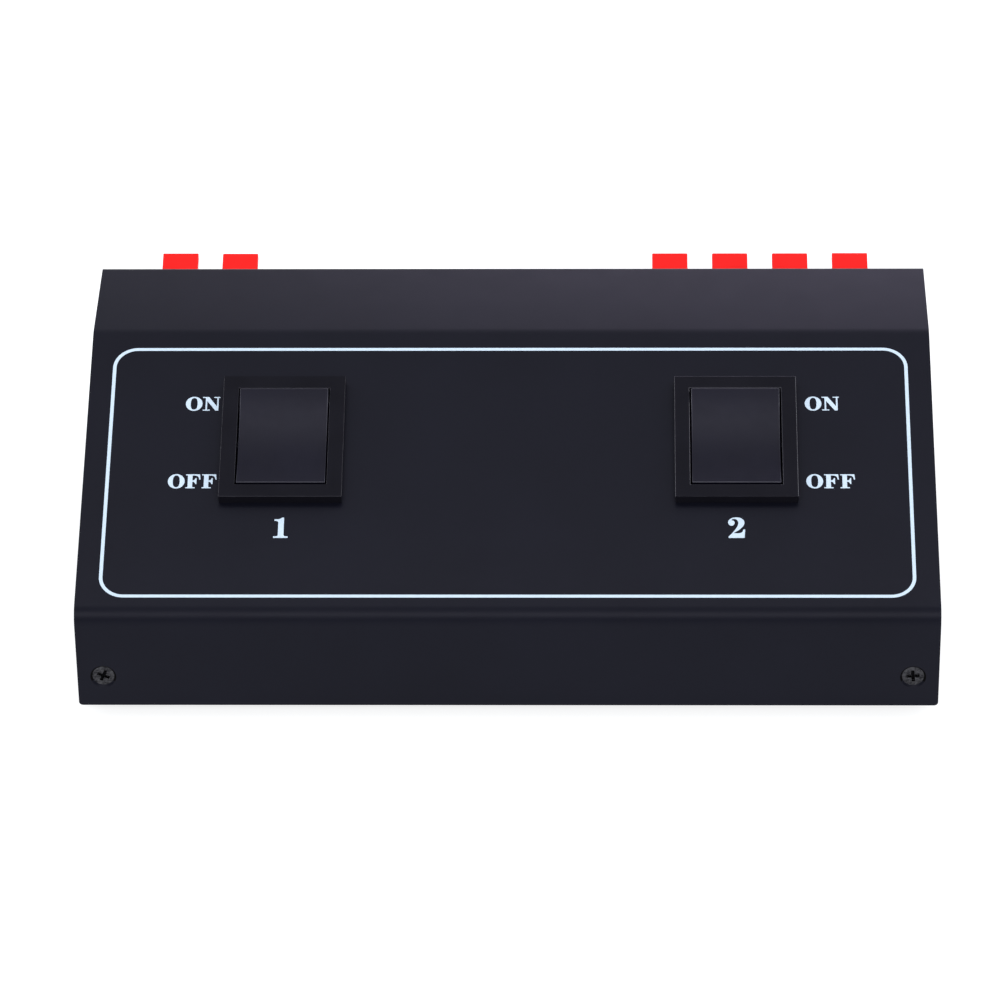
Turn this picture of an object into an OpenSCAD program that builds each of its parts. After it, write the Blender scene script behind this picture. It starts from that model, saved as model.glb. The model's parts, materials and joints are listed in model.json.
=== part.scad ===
// Two-way loudspeaker selector box.
// A folded steel cover carries two rocker switches on its sloping panel and two blocks of spring
// terminals on its back. It is screwed over a U-shaped base that stands on four rubber feet.
// Millimetres, X to the right seen from the front, Y to the rear, Z up.
// The origin lies under the middle of the whole outline, on the surface that the feet stand on.

/* [Case] */
// Width of the cover
case_w = 172; // [170:1:200]
// Height of the case without its feet
case_h = 46; // [44:0.5:56]
// Height of the upright front face
front_h = 22; // [20:0.5:26]
// Depth of the sloping panel, measured level
slope_run = 67.5; // [62:0.5:80]
// Depth of the level top
top_depth = 26.5; // [22:0.5:50]
// Thickness of the steel sheet
sheet_t = 1.2; // [0.8:0.1:1.5]
// Outer radius of the bend over the front face
front_bend_r = 4; // [1.8:0.1:4.2]
// Outer radius of the bend between the slope and the top
top_bend_r = 7; // [3:0.1:8]
// Outer radius of the bend over the rear face
rear_bend_r = 2.4; // [1.6:0.1:3]
// Radius of the free lower corners of the cover
corner_r = 0.8; // [0.4:0.1:1.5]

/* [Base] */
// Inset of the side walls behind the cover's edges
side_inset = 0.3; // [0.1:0.1:0.8]
// Width of the inward flanges
flange_w = 7.4; // [6.5:0.1:7.6]
// Height of the rear screw tabs
tab_h = 9; // [8:0.5:12]
// Room between the base and the inside of the cover
case_fit = 0.15; // [0.1:0.05:0.3]
// Length of flange left out beside each bend of the cover
bend_relief = 4; // [3:0.5:8]
// Size of the corners trimmed off the side walls under the bends
wall_trim = 2.3; // [2.2:0.1:3]

/* [Feet] */
// Diameter of a foot where it meets the base
foot_d = 12; // [8:0.5:16]
// Diameter of a foot where it meets the table
foot_tip_d = 10; // [6:0.5:12]
// Height of a foot
foot_h = 3; // [2:0.5:6]
// Distance of a foot's centre from the cover's side edge
foot_inset_x = 15; // [12:0.5:24]
// Distance of a foot's centre from the front and the rear face
foot_inset_y = 14; // [12:0.5:24]

/* [Cover screws] */
// Thread diameter
cover_screw_d = 2.5; // [2:0.1:3]
// Head diameter
cover_head_d = 4.4; // [4:0.1:5]
// Length with the head
cover_screw_l = 6; // [5:0.5:8]
// Diameter of the clearance hole in the cover
cover_hole_d = 2.8; // [2.6:0.1:3.2]
// Diameter of the countersink at the cover's surface
countersink_d = 5.2; // [5:0.1:6]
// Distance from the cover's side edge
cover_screw_inset = 5.2; // [4.5:0.1:5.6]
// Height of the front screws over the cover's lower edge
front_screw_h = 7; // [6:0.5:12]
// Height of the rear screws over the cover's lower edge
rear_screw_h = 5.5; // [4.5:0.5:6]

/* [Switches] */
// Distance of each switch from the middle of the case
switch_x = 45.9; // [40:0.1:55]
// Distance of the switches up the slope from the front edge
switch_s = 43; // [36:0.5:50]
// Width of the frame around the rocker
bezel_w = 24.8; // [24:0.2:28]
// Length of the frame around the rocker
bezel_l = 30.6; // [30:0.2:34]
// Height of the frame over the panel
bezel_h = 2.2; // [1.6:0.1:3]
// Width of the rocker
rocker_w = 18; // [16:0.2:18.4]
// Length of the rocker
rocker_l = 23.5; // [21:0.2:24]
// Height of the rocker's ends over the frame when it lies level
rocker_rise = 0.45; // [0.2:0.05:1]
// Depth of the hollow in the rocker's face
dish_depth = 1.25; // [0.6:0.05:1.4]
// Room at each side of the rocker
rocker_side_gap = 0.3; // [0.2:0.05:0.5]
// Room at each end of the rocker when it lies level
rocker_end_gap = 0.5; // [0.5:0.05:0.8]
// Tilt of the rocker at OFF in degrees, with its upper end raised
off_tilt = 1.5; // [1.5:0.5:3.5]
// Travel of the moving contacts in degrees
contact_travel = 12; // [8:1:12]
// Depth of the rocker's axis under the panel's surface
axis_depth = 1.5; // [1:0.1:2]
// Diameter of the rocker's pivots
pivot_d = 2.4; // [2:0.1:3]
// Radial room around the rocker's pivots
pivot_gap = 0.06; // [0.04:0.01:0.1]
// Thickness of the housing's side walls
housing_wall = 1.4; // [1.2:0.1:1.8]
// Thickness of the housing's end walls
housing_end_wall = 1.65; // [1.4:0.05:2]
// Depth of the housing under the panel's surface
housing_depth = 20; // [19:0.5:22]
// Thickness of the housing's floor
housing_floor = 1.5; // [1.2:0.1:2]
// Room around the housing in the panel's cut-out
cutout_gap = 0.3; // [0.1:0.05:0.4]
// Width of the contact blades
blade_w = 4.8; // [4:0.1:5]
// Thickness of the contact blades
blade_t = 0.8; // [0.6:0.1:1]
// Length of the blades under the housing
blade_l = 7; // [5:0.5:8]
// Distance of the two poles from the middle of the switch
pole_x = 4.6; // [4.5:0.1:5]

/* [Terminals] */
// Distance between neighbouring terminals
terminal_pitch = 12.7; // [12:0.1:13.5]
// Distance between the upper and the lower row
row_pitch = 15; // [14.8:0.1:16]
// Distance of the input block's outer ear from the cover's side edge
input_room = 2; // [1.5:0.1:6]
// Distance of the output block's outer ear from the cover's side edge
output_room = 1.5; // [1.5:0.1:6]
// Height of the blocks' middle over the cover's lower edge
block_h = 24.4; // [24:0.1:26]
// Thickness of the blocks' face plate
plate_t = 2; // [1.6:0.1:2.6]
// Overlap of the face plate around the block's body
plate_lip = 0.6; // [0.4:0.1:0.8]
// Width of the face plate's ears
ear_w = 6.8; // [6.4:0.1:6.9]
// Height of the face plate's ears
ear_h = 10; // [8:0.5:14]
// Depth of the blocks behind the panel's surface
block_depth = 12.5; // [12:0.5:16]
// Thickness of the blocks' walls
block_wall = 1.3; // [1:0.1:1.6]
// Thickness of the blocks' front wall behind the panel's surface
block_front_wall = 1.5; // [1.3:0.1:1.8]
// Width of a lever
lever_w = 7.5; // [6.5:0.1:8]
// Room at each side of a lever
lever_side_gap = 0.5; // [0.3:0.1:0.6]
// Thickness of a lever
lever_t = 1.8; // [1.4:0.1:2]
// Length of a lever from its axis
lever_l = 18.2; // [14:0.1:19]
// Upward slant of a lever at rest
lever_slant = 17; // [12:0.5:18]
// Travel of a lever in degrees
lever_travel = 20; // [15:1:22]
// Diameter of a lever's pivots
lever_pivot_d = 2; // [1.6:0.1:2.2]
// Diameter of a wire hole
wire_hole_d = 3.2; // [2.6:0.1:3.4]
// Thread diameter of the block screws
block_screw_d = 3; // [2.5:0.1:3]
// Head diameter of the block screws
block_head_d = 5.6; // [5:0.1:6]
// Head height of the block screws
block_head_t = 2; // [1.6:0.1:2.4]
// Length of the block screws under the head
block_screw_l = 8; // [7:0.5:10]
// Size of the nuts across their flats
nut_af = 5.5; // [5:0.1:5.5]
// Thickness of the nuts
nut_t = 2.4; // [1.8:0.1:3]

/* [Wires] */
// Outer diameter of the wires
wire_d = 1.6; // [1.2:0.1:1.8]

/* [Hidden] */
$fn = 64;

// Colours
steel_black = [0.15, 0.15, 0.18];
plastic_black = [0.11, 0.11, 0.13];
rocker_black = [0.2, 0.2, 0.24];
rubber_black = [0.07, 0.07, 0.07];
screw_black = [0.22, 0.21, 0.2];
lever_red = [0.95, 0.12, 0.13];
lever_black = [0.09, 0.09, 0.1];
brass = [0.8, 0.66, 0.33];
bright_steel = [0.72, 0.73, 0.75];
wire_red = [0.8, 0.1, 0.1];
wire_black = [0.08, 0.08, 0.08];

// Margin by which a cutting shape runs past the surface that it cuts
past = 1;

// Case profile
case_d = slope_run + top_depth;
slope_a = atan((case_h - front_h) / slope_run);
cover_path = [[0, 0], [0, front_h], [slope_run, case_h], [case_d, case_h], [case_d, 0]];
cover_radii = [0, front_bend_r, top_bend_r, rear_bend_r, 0];
cover_screw_x = case_w / 2 - cover_screw_inset;
side_x = case_w / 2 - side_inset;

// Small screw details
recess_w = 0.7;
recess_share = 0.6;
recess_t = 0.7;
thread_gap = 0.05;

// Housing of a switch
housing_w = rocker_w + 2 * rocker_side_gap + 2 * housing_wall;
housing_l = rocker_l + 2 * rocker_end_gap + 2 * housing_end_wall;
well_w = rocker_w + 2 * rocker_side_gap;
well_l = rocker_l + 2 * rocker_end_gap;
floor_w = -housing_depth + housing_floor;
partition_t = 1.2;
partition_top = -10.5;
catch_w = 8;
catch_l = 6;
catch_reach = 0.7;
catch_gap = 0.2;

// Rocker
rocker_top = bezel_h + rocker_rise;
dish_r = (pow(rocker_l / 2, 2) + pow(dish_depth, 2)) / (2 * dish_depth);
rocker_wall = 1.3;
skirt_bottom = -4.5;
pivot_l = 0.9;
pivot_end_room = 0.1;
stem_d = 4.4;
stem_bore_d = 2.6;
stem_bottom = -9;
plunger_d = 2.4;
plunger_tip = -12.7;
plunger_top = -6;
spring_top = -1;
coil_wire_d = 0.35;
coil_d = 1.9;
coil_turns = 5;
coil_steps = 10;
coil_sides = 6;

// Contacts of a switch
contact_axis_w = -13.9;
contact_axle_d = 1.2;
contact_axle_l = 6.4;
contact_w = 4;
contact_l = 15;
contact_t = 0.7;
contact_lift = 0.6;
button_d = 3;
button_t = 0.7;
button_v = -6.2;
ear_t = 0.7;
ear_l = 3.6;
ear_top = 0.9;
end_blade_v = -8;
pad_l = 4;
pad_top = -15.9;
fixed_button_t = 0.6;

// Terminal blocks
lever_slot_w = lever_w + 2 * lever_side_gap;
cell_wall = 1.6;
cell_end = lever_slot_w / 2 + cell_wall;
cell_top = 5.2;
cell_bottom = -6.1;
lever_axis = [-3.4, 2.4];
slot_gap = 0.3;
lever_reach = plate_t - lever_axis[0];
lever_pressed = lever_slant - lever_travel;
slot_high = lever_axis[1] + lever_reach * tan(lever_slant) + lever_t / 2 / cos(lever_slant) + slot_gap;
slot_low = lever_axis[1] + lever_reach * tan(lever_pressed) - lever_t / 2 / cos(lever_pressed) - slot_gap;
lever_hub_d = 4;
arm_l = 4.2;
arm_t = 1.6;
arm_lean = 10;
lever_pivot_l = 1.1;
lever_pivot_gap = 0.06;
wire_hole_z = -4.2;
funnel_d = wire_hole_d + 1.2;
funnel_t = 0.8;
body_fit = 0.3;
body_top = row_pitch / 2 + cell_top + block_wall;
body_bottom = -row_pitch / 2 + cell_bottom - block_wall;
ear_hole_gap = 0.1;

// Leaf spring with its solder tab
leaf_t = 0.4;
leaf_w = 6;
leaf_foot = -8;
leaf_head = [-5.7, -0.6];
tab_w = 4;
tab_l = 5;
window_w = 3.6;
window_low = -5.4;
window_high = -2.4;
slit_gap = 0.1;

// Names, places and colours of the terminals; left and right are the two sound channels
input_names = ["input_left", "input_right"];
output_names = ["output1_left", "output1_right", "output2_left", "output2_right"];

// Half width of a block's body, the places of its ear screws, and the blocks' middles
function body_half(count) = (count - 1) / 2 * terminal_pitch + cell_end;
function ear_screw_x(count) = body_half(count) + plate_lip + ear_w / 2;
function block_reach(count) = ear_screw_x(count) + ear_w / 2;
input_x = input_room + block_reach(len(input_names)) - case_w / 2;
output_x = case_w / 2 - output_room - block_reach(len(output_names));
rows = [["red", 1, lever_red], ["black", -1, lever_black]];
function column_x(middle, count, i) = middle + (i - (count - 1) / 2) * terminal_pitch;
function block_terminals(names, middle) = [
    for (i = [0 : len(names) - 1]) for (row = rows)
        [str(names[i], "_", row[0]), column_x(middle, len(names), i), row[1] * row_pitch / 2, row[2]]
];
terminals = concat(block_terminals(input_names, input_x), block_terminals(output_names, output_x));

// The whole outline runs from the front face to the levers' tips
lever_tip_y = case_d + lever_axis[0] + lever_l * cos(lever_slant) + lever_t / 2 * sin(lever_slant);
mid_y = lever_tip_y / 2;

// Frames: the case, a place on the slope, and a place on the rear face
module in_case() {
    translate([0, -mid_y, foot_h]) children();
}

module on_slope(x, s) {
    in_case()
        translate([x, s * cos(slope_a), front_h + s * sin(slope_a)])
            rotate([slope_a, 0, 0]) children();
}

module on_rear(x, z) {
    in_case() translate([x, case_d, z]) children();
}

// Turns a drawing of depth and height into a slab along the width
module across(w) {
    rotate([90, 0, 90]) linear_extrude(w, center = true) children();
}

// Folded sheet: a path with round bends, with the inside on its right
function unit(v) = v / norm(v);
function heading(path, i) = unit(path[i + 1] - path[i]);
function inward(path, i) = [heading(path, i)[1], -heading(path, i)[0]];
function turn(path, i) = acos(heading(path, i - 1) * heading(path, i));
function is_end(path, i) = i == 0 || i == len(path) - 1;
function bend_length(path, radii, i) = is_end(path, i) ? 0 : radii[i] * tan(turn(path, i) / 2);
function bend_start(path, radii, i) = path[i] - heading(path, i - 1) * bend_length(path, radii, i);
function bend_centre(path, radii, i) = bend_start(path, radii, i) + inward(path, i - 1) * radii[i];

// Block of width w under the path, with every face set in by t and its lower end moved down by drop
module block_under(path, radii, t, w, drop) {
    bends = [1 : len(path) - 2];
    across(w) polygon([
        path[0] + inward(path, 0) * t - [0, drop],
        for (i = bends) for (side = [i - 1, i])
            bend_centre(path, radii, i) - inward(path, side) * (radii[i] - t),
        path[len(path) - 1] + inward(path, len(path) - 2) * t - [0, drop]
    ]);
    for (i = bends) across(w) translate(bend_centre(path, radii, i)) circle(radii[i] - t);
}

module sheet_stretch(from, to, in, t) {
    polygon([from, to, to + in * t, from + in * t]);
}

// Rounds a free lower corner of the cover's front or rear face
module corner_trim(side, y) {
    translate([side * case_w / 2, y + sheet_t / 2, 0]) difference() {
        cube([2 * corner_r, sheet_t + past, 2 * corner_r], center = true);
        translate([-side * corner_r, 0, corner_r])
            rotate([90, 0, 0]) cylinder(r = corner_r, h = sheet_t + 2 * past, center = true);
    }
}

// Countersunk hole for a cover screw, opening towards +Z from the surface at 0
module countersunk_hole() {
    cone_h = (countersink_d - cover_hole_d) / 2;
    translate([0, 0, -cone_h]) cylinder(d1 = cover_hole_d, d2 = countersink_d, h = cone_h);
    translate([0, 0, -sheet_t - past]) cylinder(d = cover_hole_d, h = sheet_t + past);
    cylinder(d = countersink_d, h = past);
}

module at_front_screws() {
    for (side = [-1, 1])
        in_case() translate([side * cover_screw_x, 0, front_screw_h]) rotate([90, 0, 0]) children();
}

module at_rear_screws() {
    for (side = [-1, 1])
        on_rear(side * cover_screw_x, rear_screw_h) rotate([-90, 0, 0]) children();
}

blocks = [[input_x, len(input_names)], [output_x, len(output_names)]];

module at_block_screws() {
    for (block = blocks) for (side = [-1, 1])
        on_rear(block[0] + side * ear_screw_x(block[1]), block_h) rotate([-90, 0, 0]) children();
}

module top_cover() {
    color(steel_black) difference() {
        in_case() block_under(cover_path, cover_radii, 0, case_w, 0);
        in_case() block_under(cover_path, cover_radii, sheet_t, case_w + 2 * past, past);
        in_case() for (side = [-1, 1]) {
            corner_trim(side, 0);
            corner_trim(side, case_d - sheet_t);
        }
        for (side = [-1, 1])
            on_slope(side * switch_x, switch_s)
                cube([housing_w + 2 * cutout_gap, housing_l + 2 * cutout_gap, 4 * sheet_t], center = true);
        at_front_screws() countersunk_hole();
        at_rear_screws() countersunk_hole();
        for (block = blocks)
            on_rear(block[0], block_h)
                translate([-body_half(block[1]) - body_fit, -sheet_t - past, body_bottom - body_fit])
                    cube([2 * (body_half(block[1]) + body_fit), sheet_t + 2 * past,
                        body_top - body_bottom + 2 * body_fit]);
        at_block_screws()
            translate([0, 0, -sheet_t - past])
                cylinder(d = block_screw_d + 2 * ear_hole_gap, h = sheet_t + 2 * past);
    }
}

// Profile of a side wall, one step inside the cover; trim is the length left out beside each bend
wall_in = sheet_t + case_fit;
slope_dir = [cos(slope_a), sin(slope_a)];
slope_in = [sin(slope_a), -cos(slope_a)];
function front_head(trim) = [wall_in, front_h - trim];
function slope_low(trim) = [0, front_h] + slope_in * wall_in + slope_dir * (wall_in + trim);
function slope_high(trim) = [slope_run, case_h] + slope_in * wall_in - slope_dir * trim;
function top_front(trim) = [slope_run + trim, case_h - wall_in];
function top_rear(trim) = [case_d - wall_in - trim, case_h - wall_in];
function rear_head(trim) = [case_d - wall_in, case_h - wall_in - trim];
front_foot = [wall_in, 0];
rear_foot = [case_d - wall_in, 0];

module base_flange(from, to, in) {
    translate([side_x - flange_w / 2, 0, 0]) across(flange_w) sheet_stretch(from, to, in, sheet_t);
}

module base_side() {
    translate([side_x - sheet_t / 2, 0, 0])
        across(sheet_t)
            polygon([
                front_foot, front_head(bend_relief), front_head(wall_trim),
                slope_low(wall_trim), slope_low(bend_relief), slope_high(bend_relief), slope_high(wall_trim),
                top_front(wall_trim), top_front(bend_relief), top_rear(bend_relief), top_rear(wall_trim),
                rear_head(wall_trim), rear_foot
            ]);
    base_flange(front_foot, front_head(bend_relief), [1, 0]);
    base_flange(slope_low(bend_relief), slope_high(bend_relief), slope_in);
    base_flange(top_front(bend_relief), top_rear(bend_relief), [0, -1]);
    base_flange([rear_foot[0], tab_h], rear_foot, [-1, 0]);
}

module base_chassis() {
    color(steel_black) difference() {
        in_case() {
            translate([-side_x, wall_in, 0]) cube([2 * side_x, case_d - 2 * wall_in, sheet_t]);
            base_side();
            mirror([1, 0, 0]) base_side();
        }
        at_front_screws()
            translate([0, 0, -cover_screw_l - past])
                cylinder(d = cover_screw_d + 2 * thread_gap, h = cover_screw_l);
        at_rear_screws()
            translate([0, 0, -cover_screw_l - past])
                cylinder(d = cover_screw_d + 2 * thread_gap, h = cover_screw_l);
    }
}

module rubber_foot(side, end) {
    y = end < 0 ? foot_inset_y : case_d - foot_inset_y;
    color(rubber_black)
        in_case()
            translate([side * (case_w / 2 - foot_inset_x), y, -foot_h])
                cylinder(d1 = foot_tip_d, d2 = foot_d, h = foot_h);
}

// Cross-shaped driver recess, cut down from a surface at 0
module driver_recess(head_d) {
    l = head_d * recess_share;
    translate([-l / 2, -recess_w / 2, -recess_t]) cube([l, recess_w, recess_t + past]);
    translate([-recess_w / 2, -l / 2, -recess_t]) cube([recess_w, l, recess_t + past]);
}

// Countersunk screw, seated in the cone of its hole
module countersunk_screw() {
    sunk = (countersink_d - cover_head_d) / 2 - thread_gap;
    cone_h = (cover_head_d - cover_screw_d) / 2;
    translate([0, 0, -sunk]) difference() {
        union() {
            translate([0, 0, -cone_h]) cylinder(d1 = cover_screw_d, d2 = cover_head_d, h = cone_h);
            translate([0, 0, -cover_screw_l]) cylinder(d = cover_screw_d, h = cover_screw_l - cone_h);
        }
        driver_recess(cover_head_d);
    }
}

module front_cover_screws() {
    color(screw_black) at_front_screws() countersunk_screw();
}

module rear_cover_screws() {
    color(screw_black) at_rear_screws() countersunk_screw();
}

module block_screws() {
    color(bright_steel)
        at_block_screws()
            translate([0, 0, plate_t]) difference() {
                union() {
                    cylinder(d = block_head_d, h = block_head_t);
                    translate([0, 0, -block_screw_l]) cylinder(d = block_screw_d, h = block_screw_l);
                }
                translate([0, 0, block_head_t]) driver_recess(block_head_d);
            }
}

module block_nuts() {
    color(bright_steel)
        at_block_screws()
            translate([0, 0, -sheet_t - nut_t]) difference() {
                cylinder(d = nut_af / cos(30), h = nut_t, $fn = 6);
                translate([0, 0, -past])
                    cylinder(d = block_screw_d + 2 * thread_gap, h = nut_t + 2 * past);
            }
}

// Switch housing with its frame, in the frame of the panel at the switch
module switch_housing(x) {
    color(plastic_black) on_slope(x, switch_s) difference() {
        union() {
            translate([-bezel_w / 2, -bezel_l / 2, 0]) cube([bezel_w, bezel_l, bezel_h]);
            translate([-housing_w / 2, -housing_l / 2, -housing_depth])
                cube([housing_w, housing_l, housing_depth]);
            for (end = [0, 1]) mirror([0, end, 0]) switch_catch();
        }
        difference() {
            translate([-well_w / 2, -well_l / 2, floor_w]) cube([well_w, well_l, bezel_h - floor_w + past]);
            translate([-partition_t / 2, -well_l / 2, floor_w])
                cube([partition_t, well_l, partition_top - floor_w]);
        }
        translate([0, 0, -axis_depth]) rotate([0, 90, 0])
            cylinder(d = pivot_d + 2 * pivot_gap, h = well_w + 2 * (pivot_l + pivot_end_room), center = true);
        for (side = [-1, 1]) for (v = [0, end_blade_v])
            translate([side * pole_x, v, -housing_depth])
                cube([blade_w + 2 * thread_gap, blade_t + 2 * thread_gap, 4 * housing_floor], center = true);
    }
}

// Wedge under the panel that holds the housing in its cut-out
module switch_catch() {
    top = -sheet_t - catch_gap;
    inner = housing_l / 2 - thread_gap;
    outer = housing_l / 2 + cutout_gap + catch_reach;
    across(catch_w) polygon([[inner, top], [outer, top], [inner, top - catch_l]]);
}

// Turns the rocker and what it carries about its axis, from lying level to OFF
module at_off() {
    translate([0, 0, -axis_depth]) rotate([off_tilt, 0, 0]) translate([0, 0, axis_depth]) children();
}

module rocker(x) {
    color(rocker_black) on_slope(x, switch_s) at_off() {
        difference() {
            translate([-rocker_w / 2, -rocker_l / 2, skirt_bottom])
                cube([rocker_w, rocker_l, rocker_top - skirt_bottom]);
            translate([0, 0, rocker_top - dish_depth + dish_r]) rotate([0, 90, 0])
                cylinder(r = dish_r, h = rocker_w + 2 * past, center = true, $fn = 180);
            translate([-rocker_w / 2 + rocker_wall, -rocker_l / 2 + rocker_wall, skirt_bottom - past])
                cube([rocker_w - 2 * rocker_wall, rocker_l - 2 * rocker_wall,
                    rocker_top - dish_depth - rocker_wall - skirt_bottom + past]);
        }
        for (side = [-1, 1]) {
            translate([side * (rocker_w / 2 + (rocker_side_gap + pivot_l - rocker_wall) / 2), 0, -axis_depth])
                rotate([0, 90, 0])
                    cylinder(d = pivot_d, h = rocker_wall + rocker_side_gap + pivot_l, center = true);
            translate([side * pole_x, 0, stem_bottom]) difference() {
                cylinder(d = stem_d, h = rocker_top - dish_depth - rocker_wall / 2 - stem_bottom);
                translate([0, 0, -past]) cylinder(d = stem_bore_d, h = spring_top - stem_bottom + past);
            }
        }
    }
}

module switch_plungers(x) {
    color(brass) on_slope(x, switch_s) at_off()
        for (side = [-1, 1]) translate([side * pole_x, 0, plunger_tip + plunger_d / 2]) {
            sphere(d = plunger_d);
            cylinder(d = plunger_d, h = plunger_top - plunger_tip - plunger_d / 2);
        }
}

// Tube swept along a list of points; its rings are carried from point to point without twist
function tangent(p, i) = unit(p[min(i + 1, len(p) - 1)] - p[max(i - 1, 0)]);
function square_to(v, t) = unit(v - (v * t) * t);
function ring_sides(p, first) = [
    for (i = 0, side = square_to(first, tangent(p, 0)); i < len(p);
         i = i + 1, side = square_to(side, tangent(p, min(i, len(p) - 1)))) side
];

module swept_tube(p, d, sides, first) {
    across_dirs = ring_sides(p, first);
    rings = [
        for (i = [0 : len(p) - 1]) let (a = across_dirs[i], b = cross(tangent(p, i), a))
            for (k = [0 : sides - 1]) p[i] + d / 2 * (cos(360 * k / sides) * a + sin(360 * k / sides) * b)
    ];
    last = len(p) - 1;
    skin = [
        for (i = [0 : last - 1]) for (k = [0 : sides - 1])
            let (n = (k + 1) % sides, low = i * sides, high = low + sides)
                for (face = [[low + k, high + k, high + n], [low + k, high + n, low + n]]) face
    ];
    ends = [[for (k = [0 : sides - 1]) k], [for (k = [sides - 1 : -1 : 0]) last * sides + k]];
    polyhedron(rings, concat(skin, ends), convexity = 6);
}

function coil_points(d, low, high, turns, steps) = [
    for (i = [0 : turns * steps])
        [d / 2 * cos(360 * i / steps), d / 2 * sin(360 * i / steps), low + (high - low) * i / (turns * steps)]
];

module plunger_springs(x) {
    low = plunger_top + coil_wire_d / 2;
    high = spring_top - coil_wire_d / 2;
    coil = coil_points(coil_d, low, high, coil_turns, coil_steps);
    color(bright_steel) on_slope(x, switch_s) at_off()
        for (side = [-1, 1]) translate([side * pole_x, 0, 0])
            swept_tube(coil, coil_wire_d, coil_sides, [1, 0, 0]);
}

// Rocking contact strips, lifted from their fixed contacts by half of their travel from level
module moving_contacts(x) {
    color(brass) on_slope(x, switch_s)
        for (side = [-1, 1]) translate([side * pole_x, 0, contact_axis_w])
        rotate([-contact_travel / 2, 0, 0]) {
            rotate([0, 90, 0]) cylinder(d = contact_axle_d, h = contact_axle_l, center = true);
            translate([-contact_w / 2, -contact_l / 2, contact_lift - contact_t / 2])
                cube([contact_w, contact_l, contact_t]);
            translate([0, button_v, contact_lift - contact_t / 2 - button_t])
                cylinder(d = button_d, h = button_t);
            translate([-contact_w / 2, -contact_axle_d / 2, 0])
                cube([contact_w, contact_axle_d, contact_lift]);
        }
}

// Fixed contacts: a cradle blade in the middle and a contact blade at one end, for each pole
module switch_terminals(x) {
    blade_bottom = -housing_depth - blade_l;
    color(brass) on_slope(x, switch_s) for (side = [-1, 1]) translate([side * pole_x, 0, 0]) {
        translate([-blade_w / 2, -blade_t / 2, blade_bottom])
            cube([blade_w, blade_t, floor_w - blade_bottom]);
        translate([-contact_axle_l / 2, -ear_l / 2, floor_w]) cube([contact_axle_l, ear_l, blade_t]);
        for (ear = [-1, 1])
            translate([ear * (contact_axle_l - ear_t) / 2, 0, 0]) difference() {
                translate([-ear_t / 2, -ear_l / 2, floor_w])
                    cube([ear_t, ear_l, contact_axis_w + ear_top - floor_w]);
                translate([0, 0, contact_axis_w]) rotate([0, 90, 0])
                    cylinder(d = contact_axle_d + 2 * thread_gap, h = 2 * ear_t, center = true);
            }
        translate([-blade_w / 2, end_blade_v - blade_t / 2, blade_bottom])
            cube([blade_w, blade_t, pad_top - blade_bottom]);
        translate([-blade_w / 2, end_blade_v - blade_t / 2, pad_top - blade_t])
            cube([blade_w, pad_l, blade_t]);
        translate([0, button_v, pad_top]) cylinder(d = button_d, h = fixed_button_t);
    }
}

// Body of a terminal block: face plate, cells, lever slots, wire holes and slits for the solder tabs
module block_body(x, count) {
    half = body_half(count);
    plate_half = half + plate_lip;
    color(plastic_black) on_rear(x, block_h) difference() {
        union() {
            translate([-plate_half, 0, body_bottom - plate_lip])
                cube([2 * plate_half, plate_t, body_top - body_bottom + 2 * plate_lip]);
            translate([-plate_half - ear_w, 0, -ear_h / 2]) cube([2 * (plate_half + ear_w), plate_t, ear_h]);
            translate([-half, -block_depth, body_bottom])
                cube([2 * half, block_depth, body_top - body_bottom]);
        }
        for (side = [-1, 1])
            translate([side * ear_screw_x(count), plate_t / 2, 0]) rotate([90, 0, 0])
                cylinder(d = block_screw_d + 2 * ear_hole_gap, h = plate_t + past, center = true);
        for (i = [0 : count - 1]) for (row = rows)
            translate([column_x(0, count, i), 0, row[1] * row_pitch / 2]) terminal_cell();
    }
}

module terminal_cell() {
    cell_depth = block_depth - block_wall - block_front_wall;
    translate([-lever_slot_w / 2, -block_depth + block_wall, cell_bottom])
        cube([lever_slot_w, cell_depth, cell_top - cell_bottom]);
    translate([-lever_slot_w / 2, -block_front_wall - past, slot_low])
        cube([lever_slot_w, block_front_wall + plate_t + 2 * past, slot_high - slot_low]);
    translate([0, lever_axis[0], lever_axis[1]]) rotate([0, 90, 0])
        cylinder(d = lever_pivot_d + 2 * lever_pivot_gap, center = true,
            h = lever_slot_w + 2 * (lever_pivot_l + pivot_end_room) - 2 * lever_side_gap);
    translate([0, plate_t + past, wire_hole_z]) rotate([90, 0, 0])
        cylinder(d = wire_hole_d, h = plate_t + block_front_wall + 2 * past);
    translate([0, plate_t, wire_hole_z]) rotate([90, 0, 0])
        cylinder(d1 = funnel_d, d2 = wire_hole_d, h = funnel_t);
    translate([-leaf_w / 2 - slit_gap, -block_depth - past, cell_bottom])
        cube([leaf_w + 2 * slit_gap, block_wall + 2 * past, leaf_t + slit_gap]);
}

// Push lever: finger tab, hub with two pivots, and the arm that opens the clamp
module terminal_lever(x, z, paint) {
    color(paint) on_rear(x, block_h + z) translate([0, lever_axis[0], lever_axis[1]]) {
        across(lever_w) {
            circle(d = lever_hub_d);
            rotate(lever_slant) translate([0, -lever_t / 2]) square([lever_l, lever_t]);
            rotate(-90 - arm_lean) translate([0, -arm_t / 2]) square([arm_l, arm_t]);
        }
        rotate([0, 90, 0]) cylinder(d = lever_pivot_d, h = lever_w + 2 * lever_pivot_l, center = true);
    }
}

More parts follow.
